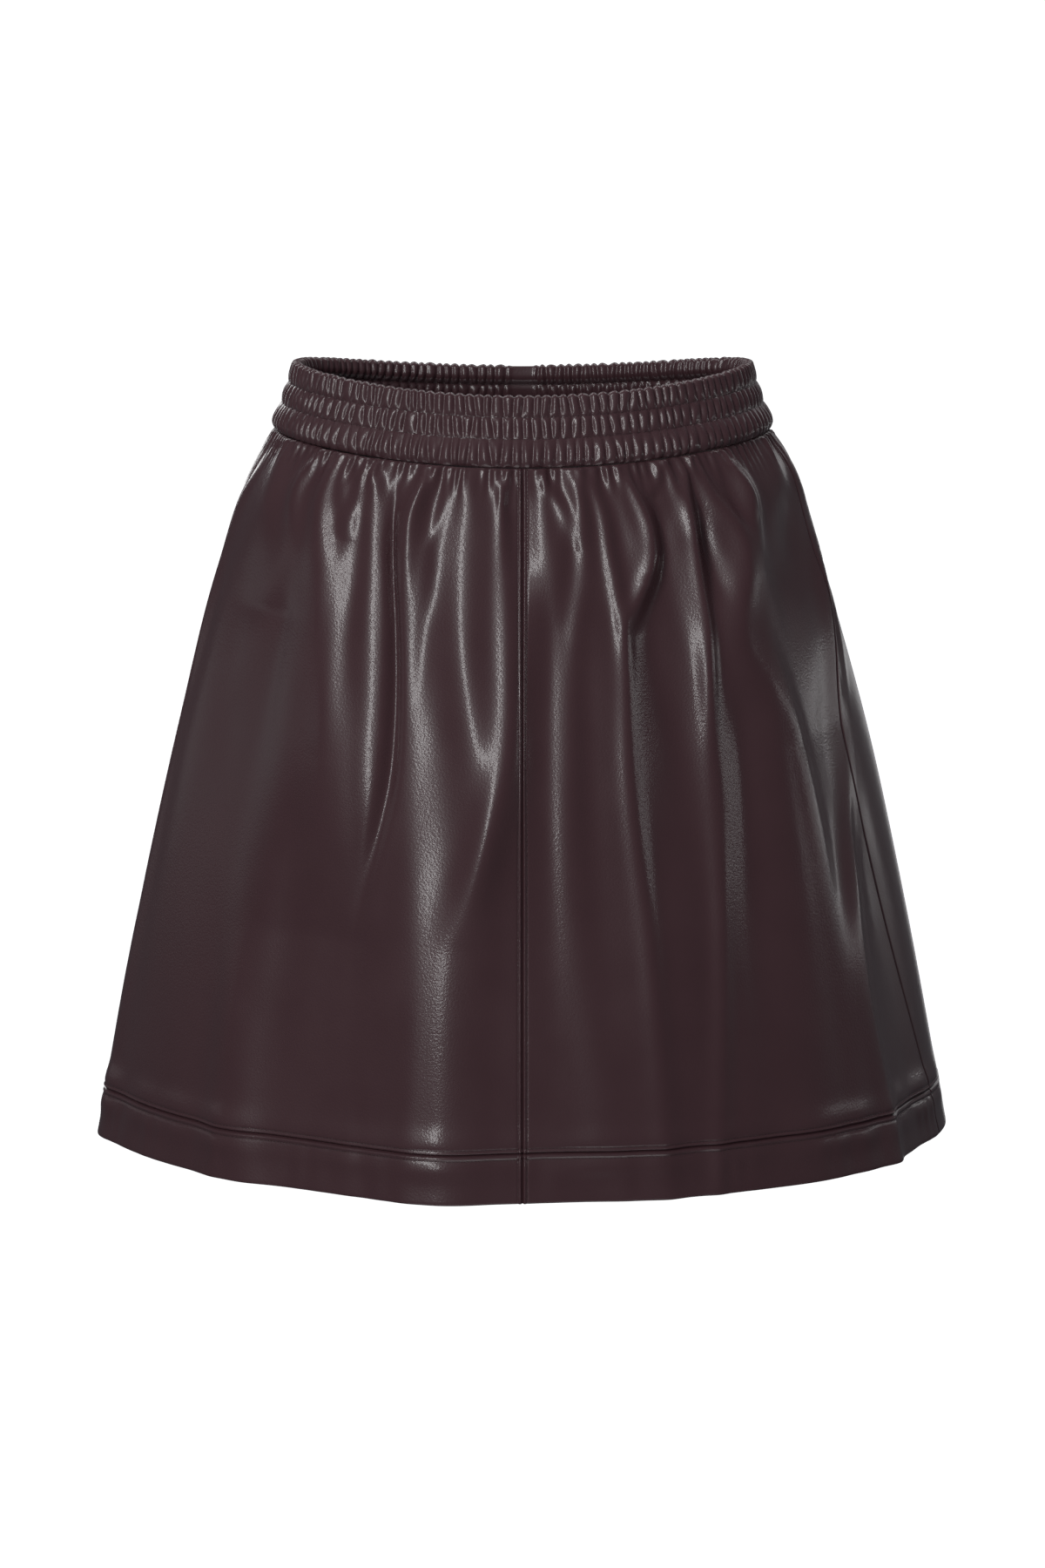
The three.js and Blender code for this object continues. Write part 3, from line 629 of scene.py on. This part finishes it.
INNER_PUFFS += [1.4, 1.6, 1.4, 0.9, 0.2, 1.2, 2.4, 2.4, 1.0, 0.1]
CHANNEL_EDGES = [0, 15, 26.4, 39]
STITCHED_EDGES = CHANNEL_EDGES[1:3]
BAND_WALL, BAND_START = 3.2, 0.15
RIM_TOP, RIM_HEIGHT, RIM_ROWS = 35.8, 1.5, 7
CENTRE_BACK_FLAT, CENTRE_BACK_FADE = 6.5, 3
INNER_SWELL = 1.2
FRONT_COLUMNS, BACK_COLUMNS, FRONT_REACH = 700, 410, 96
ROW_CROWDING = 0.75


def band_side(rises, inner):
    """One side of the plain band: rows of points, from a list of rises."""
    rise = np.asarray(rises, float)[:, None]
    half, front, back = (curve(BAND_RISES, row, rise) for row in (BAND_HALVES, BAND_FRONTS, BAND_BACKS))
    place, out = oval(half, front, back, BAND_ANGLES[None], waist_z(BAND_ANGLES)[None] + rise)
    puff = curve(BAND_PUFF_RISES, INNER_PUFFS if inner else BAND_PUFFS, rise)
    height = -BAND_WALL - puff if inner else puff
    return place + out * height[..., None]


def channel_rows(low, high, count):
    """Rises of a channel's rows, closer together beside its stitches."""
    turned = np.linspace(0, np.pi, count)
    crowded = (high - low) * (0.5 - 0.5 * np.cos(turned)) * ROW_CROWDING
    return low + crowded + (high - low) * (1 - ROW_CROWDING) * turned / np.pi


def side_rises(counts):
    """Rises of one side's rows, with so many in each channel."""
    edges = [BAND_START, *STITCHED_EDGES, RIM_TOP]
    low, middle, top = (channel_rows(*edges[i : i + 2], count) for i, count in enumerate(counts))
    return np.concatenate([low[:-1], middle[:-1], top])


BAND_ANGLES = np.concatenate(
    [np.linspace(-180, -FRONT_REACH, BACK_COLUMNS // 2, endpoint=False),
     np.linspace(-FRONT_REACH, FRONT_REACH, FRONT_COLUMNS, endpoint=False),
     np.linspace(FRONT_REACH, 180, BACK_COLUMNS // 2, endpoint=False)]
)
outer_rises = side_rises([19, 15, 12])
inner_rises = side_rises([9, 11, 9])[::-1]
outside = band_side(outer_rises, inner=False)
inside = band_side(inner_rises, inner=True)
over = np.linspace(0, np.pi, RIM_ROWS + 2)[1:-1]
rim_middle, rim_reach = (outside[-1] + inside[0]) / 2, (outside[-1] - inside[0]) / 2
rim = [rim_middle + rim_reach * np.cos(s) + np.array([0, 0, RIM_HEIGHT * np.sin(s)]) for s in over]
band_rings = np.concatenate([outside, rim, inside])
rim_rises = RIM_TOP + RIM_HEIGHT * np.sin(over)
ring_rises = np.concatenate([outer_rises, rim_rises, inner_rises])
print("waistband's plain ring:", band_rings.shape[:2], "rows and columns")

# %% [markdown]
# The rows go once round the band's section and close on themselves, so the ring has no open edge. The
# numbers that the gathers need are kept on its points as named attributes, because a node tree can read
# those by name, whatever the order of the points is.

# %% Build the plain ring
SWELL_AT_STITCHES, SWELL_ROUNDNESS = 0.15, 0.9
LOW_SWELLS = {0: 0.15, 2: 0.6, 4.5: 1, 7: 0.95, 10: 0.65, 13: 0.35, 15: 0.15}
TOP_SWELLS = {26.4: 0.15, 29: 0.75, 31.5: 1, 34.5: 0.9, 39: 0.8}


def ring_mesh(name, rings):
    """A closed ring from rows that go round its section."""
    rows, columns = rings.shape[:2]
    index = np.arange(rows * columns).reshape(rows, columns)
    below, beside = np.roll(index, -1, axis=0), np.roll(index, -1, axis=1)
    across = np.roll(below, -1, axis=1)
    faces = np.stack([index.ravel(), beside.ravel(), across.ravel(), below.ravel()], 1).tolist()
    return make_mesh(name, rings.reshape(-1, 3), faces, [leather], [0] * len(faces))


def keep_number(piece, name, values):
    """Keeps a number at each of a mesh's points."""
    numbers = piece.data.attributes.new(name, "FLOAT", "POINT")
    numbers.data.foreach_set("value", values.ravel().astype(np.float32))


def gather_numbers(piece):
    """The numbers that the gathers read, at every point of the ring."""
    middle = band_rings[len(outer_rises) // 2]
    steps = np.linalg.norm(np.diff(middle, axis=0, append=middle[:1]), axis=1)
    around = np.concatenate([[0], np.cumsum(steps)[:-1]])
    length = steps.sum()
    from_back = np.minimum(around, length - around)
    full = np.clip((from_back - CENTRE_BACK_FLAT) / CENTRE_BACK_FADE, 0, 1)
    channel = np.searchsorted(CHANNEL_EDGES, ring_rises, side="right") - 1
    edges = np.array(CHANNEL_EDGES, float)
    up = (ring_rises - edges[channel]) / np.diff(edges)[channel]
    arch = np.clip(np.sin(np.pi * up), 0, 1) ** SWELL_ROUNDNESS
    swell = SWELL_AT_STITCHES + (1 - SWELL_AT_STITCHES) * arch
    for number, swells in ((0, LOW_SWELLS), (2, TOP_SWELLS)):
        rows = channel == number
        swell[rows] = np.interp(ring_rises[rows], list(swells), list(swells.values()))
    swell[len(outer_rises) + RIM_ROWS :] *= INNER_SWELL
    flat = np.ones(band_rings.shape[:2])
    keep_number(piece, "around", flat * around)
    keep_number(piece, "channel", flat * channel[:, None])
    keep_number(piece, "up", flat * up[:, None])
    keep_number(piece, "swell", flat * swell[:, None] * full)
    keep_number(piece, "pinch", flat * np.clip(1 - swell[:, None], 0, 1) * full)
    return length


waistband = ring_mesh("waistband", band_rings)
band_length = gather_numbers(waistband)
print("the waistband is", round(band_length), "mm round")

# %% [markdown]
# The gathers are where Geometry Nodes help most. There are about 400 of them in three rows, each a soft
# puff between two sharp creases, and no two alike. Modelling them by hand would take a day. The tree
# needs only a few numbers: how far apart they are, how deep, how unevenly spaced, and a seed. It moves
# each point along its normal. A noise shifts the puffs, tilts them and changes their size, and a finer
# one pinches the leather beside the stitches.

# %% Tools for node trees


def new_tree(name, inputs):
    """A geometry node tree with named inputs, and its two end nodes."""
    tree = bpy.data.node_groups.new(name, "GeometryNodeTree")
    tree.interface.new_socket("Geometry", in_out="INPUT", socket_type="NodeSocketGeometry")
    tree.interface.new_socket("Geometry", in_out="OUTPUT", socket_type="NodeSocketGeometry")
    for label, kind in inputs:
        tree.interface.new_socket(label, in_out="INPUT", socket_type="NodeSocket" + kind)
    return tree, tree.nodes.new("NodeGroupInput"), tree.nodes.new("NodeGroupOutput")


def put(tree, socket, value):
    """Joins another node's socket to this one, or sets its number."""
    if isinstance(value, bpy.types.NodeSocket):
        tree.links.new(value, socket)
    else:
        socket.default_value = value


def maths(tree, operation, *values):
    """A sum or other operation on numbers."""
    node = tree.nodes.new("ShaderNodeMath")
    node.operation = operation
    for socket, value in zip(node.inputs, values):
        put(tree, socket, value)
    return node.outputs[0]


def kept(tree, name):
    """A number that was kept at each point."""
    node = tree.nodes.new("GeometryNodeInputNamedAttribute")
    node.data_type = "FLOAT"
    node.inputs["Name"].default_value = name
    return node.outputs["Attribute"]


def vector(tree, x=0.0, y=0.0, z=0.0):
    """A vector from three numbers."""
    node = tree.nodes.new("ShaderNodeCombineXYZ")
    for socket, value in zip(node.inputs, (x, y, z)):
        put(tree, socket, value)
    return node.outputs[0]


def tree_noise(tree, place, detail=1.0):
    """A noise from -0.5 to 0.5, one wave to each unit of the place."""
    node = tree.nodes.new("ShaderNodeTexNoise")
    node.inputs["Scale"].default_value = 1.0
    node.inputs["Detail"].default_value = detail
    put(tree, node.inputs["Vector"], place)
    return maths(tree, "SUBTRACT", node.outputs["Fac"], 0.5)


def end_tree(tree, end, geometry, material):
    """Makes instances real, sets the material and hands the result out."""
    real = tree.nodes.new("GeometryNodeRealizeInstances")
    put(tree, real.inputs["Geometry"], geometry)
    color = tree.nodes.new("GeometryNodeSetMaterial")
    put(tree, color.inputs["Geometry"], real.outputs["Geometry"])
    put(tree, color.inputs["Material"], material)
    put(tree, end.inputs[0], color.outputs["Geometry"])


def apply_tree(piece, tree, values):
    """Runs a tree on a piece with these inputs, and keeps the result as a plain mesh."""
    modifier = piece.modifiers.new(tree.name, "NODES")
    modifier.node_group = tree
    sockets = [socket for socket in tree.interface.items_tree if socket.in_out == "INPUT"]
    names = {socket.name: socket.identifier for socket in sockets}
    for label, value in values.items():
        modifier[names[label]] = value
    bpy.context.view_layer.update()
    graph = bpy.context.evaluated_depsgraph_get()
    mesh = bpy.data.meshes.new_from_object(piece.evaluated_get(graph), depsgraph=graph)
    piece.modifiers.remove(modifier)
    piece.data = mesh
    return mesh


print("tools for node trees are ready")

# %% [markdown]
# A crease is where the sine of the way round passes through zero. Its size without its sign makes a row
# of arches, and a power below one makes them fuller, with narrow furrows between them.

# %% Gather the waistband
GATHER_INPUTS = [("Pitch", "Float"), ("Depth", "Float"), ("Unevenness", "Float"), ("Seed", "Float")]
GATHER_INPUTS += [("Leather", "Material")]
CHANNEL_SEED, LEAN_SEED, SIZE_SEED = 7.3, 3.1, 5.7
SHIFT_WAVES, SHIFT = 0.045, 5.0
LEAN_WAVES, LEAN = 0.09, 2.6
SIZE_WAVES, SIZE = 0.2, 0.8
PINCH_WAVES, PINCH_RISE, PINCH = 0.55, 1.2, 0.5
PUFF_FULLNESS, PUFF_MIDDLE = 0.7, 0.42


def gathers_tree():
    """Moves a ring's points along their normals into rows of puffs."""
    tree, start, end = new_tree("gathers", GATHER_INPUTS)

    def times(first, second):
        """A product in this tree."""
        return maths(tree, "MULTIPLY", first, second)

    def plus(first, second):
        """A sum in this tree."""
        return maths(tree, "ADD", first, second)

    around, channel, up = kept(tree, "around"), kept(tree, "channel"), kept(tree, "up")
    seed = plus(start.outputs["Seed"], times(channel, CHANNEL_SEED))
    slow = tree_noise(tree, vector(tree, times(around, SHIFT_WAVES), seed), 2)
    lean = tree_noise(tree, vector(tree, times(around, LEAN_WAVES), plus(seed, LEAN_SEED)))
    tilt = times(times(lean, maths(tree, "SUBTRACT", up, 0.5)), LEAN)
    shift = times(times(slow, SHIFT), start.outputs["Unevenness"])
    phase = plus(maths(tree, "DIVIDE", around, start.outputs["Pitch"]), plus(shift, tilt))
    arch = maths(tree, "ABSOLUTE", maths(tree, "SINE", times(phase, np.pi)))
    arch = maths(tree, "SUBTRACT", maths(tree, "POWER", arch, PUFF_FULLNESS), PUFF_MIDDLE)
    size = tree_noise(tree, vector(tree, times(around, SIZE_WAVES), plus(seed, SIZE_SEED)))
    size = plus(times(size, SIZE), 1.0)
    puffs = times(times(arch, size), kept(tree, "swell"))
    fine = tree_noise(tree, vector(tree, times(around, PINCH_WAVES), seed, times(up, PINCH_RISE)))
    pinches = times(fine, times(kept(tree, "pinch"), PINCH))
    height = times(plus(puffs, pinches), start.outputs["Depth"])
    move = tree.nodes.new("GeometryNodeSetPosition")
    along = tree.nodes.new("ShaderNodeVectorMath")
    along.operation = "SCALE"
    put(tree, along.inputs[0], tree.nodes.new("GeometryNodeInputNormal").outputs["Normal"])
    put(tree, along.inputs["Scale"], height)
    put(tree, move.inputs["Geometry"], start.outputs["Geometry"])
    put(tree, move.inputs["Offset"], along.outputs["Vector"])
    end_tree(tree, end, move.outputs["Geometry"], start.outputs["Leather"])
    return tree


band_sizes = {"Pitch": 5.5, "Depth": 2.0 * MM, "Unevenness": 0.35, "Seed": 4.0, "Leather": leather}
apply_tree(waistband, gathers_tree(), band_sizes)
print("waistband:", len(waistband.data.polygons), "faces,", round(area_of(waistband), 4), "square metres")

# %% [markdown]
# The stitches are real thread too: a lockstitch shows as a row of short, slightly sunk grains. A second
# tree walks along each stitch line by its pitch and sets one grain at each step, turned to the line.

# %% Lines for the stitches
THREAD_RADIUS, THREAD_SUNK = 0.2, 0.5
ROUND_POINTS, DOWN_POINTS, TRIAL_TURN = 1500, 500, 0.5


def line_piece(name, lines, closed=False):
    """Edges through rows of points in millimetres, as the paths that stitches follow."""
    points, edges = [], []
    for line in lines:
        start = len(points)
        points += [tuple(point) for point in np.asarray(line) * MM]
        edges += [(i, i + 1) for i in range(start, len(points) - 1)]
        if closed:
            edges.append((len(points) - 1, start))
    mesh = bpy.data.meshes.new(name)
    mesh.from_pydata(points, edges, [])
    piece = bpy.data.objects.new(name, mesh)
    bpy.context.scene.collection.objects.link(piece)
    return piece


def row_round(drop, height):
    """A level line of stitches at a drop, all round the skirt."""
    angle = np.linspace(-180, 180, ROUND_POINTS, endpoint=False)
    place, out = face(angle, drop)
    return place + out * height


def row_down(angle, sideways, height):
    """A line of stitches down the skirt, a few millimetres to the side of an angle."""
    drop = np.linspace(1, SKIRT_DROP - 3, DOWN_POINTS)
    place, out = face(angle, drop)
    across = np.cross(out, [0, 0, 1])
    aside = face(angle + np.sign(sideways) * TRIAL_TURN, drop)[0] - place
    step = sideways / np.abs((aside * across).sum(-1)) * TRIAL_TURN
    place, out = face(angle + step, drop)
    return place + out * height


sunk = THREAD_RADIUS * THREAD_SUNK - STITCH_DENT
hem_lines = [row_round(HEM_SEAM - HEM_STITCH_ABOVE, sunk), row_round(HEM_SEAM + HEM_STITCH_BELOW, sunk)]
front_lines = [row_down(0, side * CENTRE_STITCH, sunk) for side in (-1, 1)]
band_points = np.array([v.co for v in waistband.data.vertices]).reshape(*band_rings.shape) / MM
inner_points = band_points[len(outer_rises) + RIM_ROWS :]
band_lines = [band_points[np.argmin(np.abs(outer_rises - edge))] for edge in STITCHED_EDGES]
band_lines += [inner_points[np.argmin(np.abs(inner_rises - edge))] for edge in STITCHED_EDGES]
print("lines at hem, front and waistband:", len(hem_lines), len(front_lines), len(band_lines))

# %% [markdown]
# The tree for the stitches could place a modelled loop of thread, but at this size only a rounded grain
# shows. So it scales one small sphere to each stitch's length, and its four inputs are all that changes
# from one row to the next. Every result is kept as a plain mesh, so nothing is left to work out later.

# %% Sew the stitches


def stitches_tree():
    """A grain of thread at every step along lines."""
    inputs = [("Pitch", "Float"), ("Length", "Float"), ("Radius", "Float"), ("Thread", "Material")]
    tree, start, end = new_tree("stitches", inputs)
    to_curve = tree.nodes.new("GeometryNodeMeshToCurve")
    put(tree, to_curve.inputs["Mesh"], start.outputs["Geometry"])
    steps = tree.nodes.new("GeometryNodeResampleCurve")
    steps.mode = "LENGTH"
    put(tree, steps.inputs["Curve"], to_curve.outputs["Curve"])
    put(tree, steps.inputs["Length"], start.outputs["Pitch"])
    grain = tree.nodes.new("GeometryNodeMeshUVSphere")
    grain.inputs["Segments"].default_value = 7
    grain.inputs["Rings"].default_value = 5
    grain.inputs["Radius"].default_value = 1.0
    turned = tree.nodes.new("FunctionNodeAlignRotationToVector")
    turned.axis = "Z"
    put(tree, turned.inputs["Vector"], tree.nodes.new("GeometryNodeInputTangent").outputs["Tangent"])
    place = tree.nodes.new("GeometryNodeInstanceOnPoints")
    put(tree, place.inputs["Points"], steps.outputs["Curve"])
    put(tree, place.inputs["Instance"], grain.outputs["Mesh"])
    put(tree, place.inputs["Rotation"], turned.outputs["Rotation"])
    radius = start.outputs["Radius"]
    half = maths(tree, "MULTIPLY", start.outputs["Length"], 0.5)
    put(tree, place.inputs["Scale"], vector(tree, radius, radius, half))
    end_tree(tree, end, place.outputs["Instances"], start.outputs["Thread"])
    return tree


sewing = stitches_tree()


def sew(name, lines, pitch, length, closed=False):
    """One piece with the stitches along these lines."""
    piece = line_piece(name, lines, closed)
    values = {"Pitch": pitch * MM, "Length": length * MM, "Radius": THREAD_RADIUS * MM, "Thread": thread}
    apply_tree(piece, sewing, values)
    piece.data.polygons.foreach_set("use_smooth", [True] * len(piece.data.polygons))
    return piece


stitches = {
    "hem_stitches": sew("hem_stitches", hem_lines, pitch=1.95, length=1.6, closed=True),
    "front_stitches": sew("front_stitches", front_lines, pitch=1.95, length=1.6),
    "waistband_stitches": sew("waistband_stitches", band_lines, pitch=2.1, length=1.7, closed=True),
}
for name, piece in stitches.items():
    print(name, len(piece.data.polygons), "faces")

# %% [markdown]
# The studio is white, with the skirt well clear of the floor. Leather this dark shows mostly what it
# mirrors, so the lights matter more than its colour. One large soft light would wash over every fold.
# Tall, narrow strips give each fold one clean line down its crest, and wide ones above and below fill the
# rest. Two of these light the leather's own colour only: its gloss doesn't mirror them, because they
# would veil the waistband's rim. The backdrop goes round on every side, so that each view has it, and it
# shows to the camera alone, or else its white would grey the whole skirt.

# %% Floor, backdrop and lights
FLOOR_Z = -3.2
LIGHT_DISTANCE = 2.4
STRIPS = {
    "key": dict(azimuth=-24.5, elevation=17, width=0.20, height=1.7, watts=15),
    "key_top": dict(azimuth=-24.5, elevation=42, width=0.16, height=0.7, watts=7.5),
    "left_side": dict(azimuth=-95, elevation=4, width=0.30, height=2.4, watts=0.7),
    "right_side": dict(azimuth=96, elevation=2, width=0.12, height=2.4, watts=2.7),
    "left_back": dict(azimuth=-158, elevation=4, width=0.4, height=2.4, watts=8),
    "right_back": dict(azimuth=150, elevation=4, width=0.5, height=2.4, watts=2.5),
    "floor_bounce": dict(azimuth=0, elevation=-56, width=2.2, height=1.0, watts=10),
    "top_left": dict(azimuth=-140, elevation=55, width=1.2, height=1.0, watts=8),
    "top_right": dict(azimuth=140, elevation=55, width=1.2, height=1.0, watts=8),
}
FILLS = {
    "front_fill": dict(azimuth=0, elevation=38, width=2.4, height=1.2, watts=4.2),
    "overhead": dict(azimuth=0, elevation=84, width=2.4, height=1.0, watts=12),
}
WORLD_COLOR, WORLD_STRENGTH = (0.9, 0.92, 1), 0.078


def backdrop():
    """A pale round floor that curves up into a wall on every side, well away from the skirt."""
    reach, radius, top, steps, sides = 5.5, 1.2, 9.0, 16, 64
    arc = np.linspace(0, np.pi / 2, steps)
    out = np.concatenate([[0.01], reach + radius * np.sin(arc), [reach + radius]])
    z = np.concatenate([[0], radius * (1 - np.cos(arc)), [top]]) + FLOOR_Z
    around = np.linspace(0, 2 * np.pi, sides, endpoint=False)
    x, y = out[:, None] * np.cos(around), out[:, None] * np.sin(around)
    grid = np.stack(np.broadcast_arrays(x, y, z[:, None]), -1)
    index = np.arange(len(out) * sides).reshape(len(out), sides)
    after = np.roll(index, -1, axis=1)
    quads = np.stack([index[:-1], after[:-1], after[1:], index[1:]], -1).reshape(-1, 4)
    faces = quads[:, ::-1].tolist() + [index[0].tolist()]
    white, _, _, shader = new_material("studio_white", (0.9, 0.9, 0.9), roughness=0.9, specular=0.1)
    shader.inputs["Emission Color"].default_value = (1, 1, 1, 1)
    shader.inputs["Emission Strength"].default_value = 1.0
    piece = make_mesh("backdrop", grid.reshape(-1, 3) / MM, faces, [white], [0] * len(faces))
    piece.visible_diffuse = piece.visible_glossy = False


def softbox(name, azimuth, elevation, width, height, watts):
    """A rectangular softbox that faces the skirt from an azimuth, 0 at the camera and 90 at +X."""
    a, e = np.radians(azimuth), np.radians(elevation)
    way = Vector((np.sin(a) * np.cos(e), -np.cos(a) * np.cos(e), np.sin(e)))
    light = bpy.data.lights.new(name, "AREA")
    light.shape, light.size, light.size_y, light.energy = "RECTANGLE", width, height, watts
    lamp = bpy.data.objects.new(name, light)
    bpy.context.scene.collection.objects.link(lamp)
    lamp.location = AIM + way * LIGHT_DISTANCE
    lamp.rotation_euler = (-way).to_track_quat("-Z", "Z").to_euler()
    return lamp


backdrop()
for name, row in STRIPS.items():
    softbox(name, **row)
for name, row in FILLS.items():
    softbox(name, **row).visible_glossy = False
world = bpy.data.worlds.new("studio")
bpy.context.scene.world = world
world.use_nodes = True
sky = world.node_tree.nodes["Background"]
sky.inputs["Color"].default_value = (*WORLD_COLOR, 1)
sky.inputs["Strength"].default_value = WORLD_STRENGTH
bpy.context.scene.view_settings.view_transform = "Standard"

# %% [markdown]
# Each piece of leather rides on the skirt's one body and stands for its own solid, which is hidden. The
# thread could be joined to the leather, but it stays in pieces of its own, because a maker chooses and
# changes it apart from the cloth. It rides on the same body and stands for no solid.

# %% Dress the frame
pieces = {**panels, **hem_bands, "waistband": waistband}
for node, piece in pieces.items():
    piece.name = node + "_leather"
    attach(piece, "root")
    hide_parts(node)
for piece in stitches.values():
    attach(piece, "root")
print(len(pieces), "pieces of leather and", len(stitches), "of thread on the frame")

# %% [markdown]
# A simulation needs to know how much cloth there is, so each piece's flat cut where it shows is listed
# here with its size. That could be worked out from the box of the solid, but gathered cloth is far longer
# than its box. So the sizes are measured along the folds. The panels aren't rectangles: they are narrower
# at the waist than at the hem, so their flat area is given as well. The waistband's cut is a third longer
# than the waist, and its elastic gathers it.

CUTS = {
    "waistband": {"flat": (0.98, 0.038), "held": "gathered"},
    "front_right_panel": {"flat": (0.306, 0.372), "held": "gathered", "on": "waistband", "area": 0.0953},
    "front_left_panel": {"flat": (0.289, 0.372), "held": "gathered", "on": "waistband", "area": 0.0874},
    "back_panel": {"flat": (0.695, 0.372), "held": "gathered", "on": "waistband", "area": 0.2245},
    "hem_band_front_right": {"flat": (0.312, 0.028), "held": "hung", "on": "front_right_panel"},
    "hem_band_front_left": {"flat": (0.299, 0.028), "held": "hung", "on": "front_left_panel"},
    "hem_band_back": {"flat": (0.701, 0.028), "held": "hung", "on": "back_panel"},
}
for node, cut in CUTS.items():
    flat_area = cut.get("area", cut["flat"][0] * cut["flat"][1])
    print(node, "cloth", round(area_of(pieces[node]), 4), "of", round(flat_area, 4), "square metres cut")
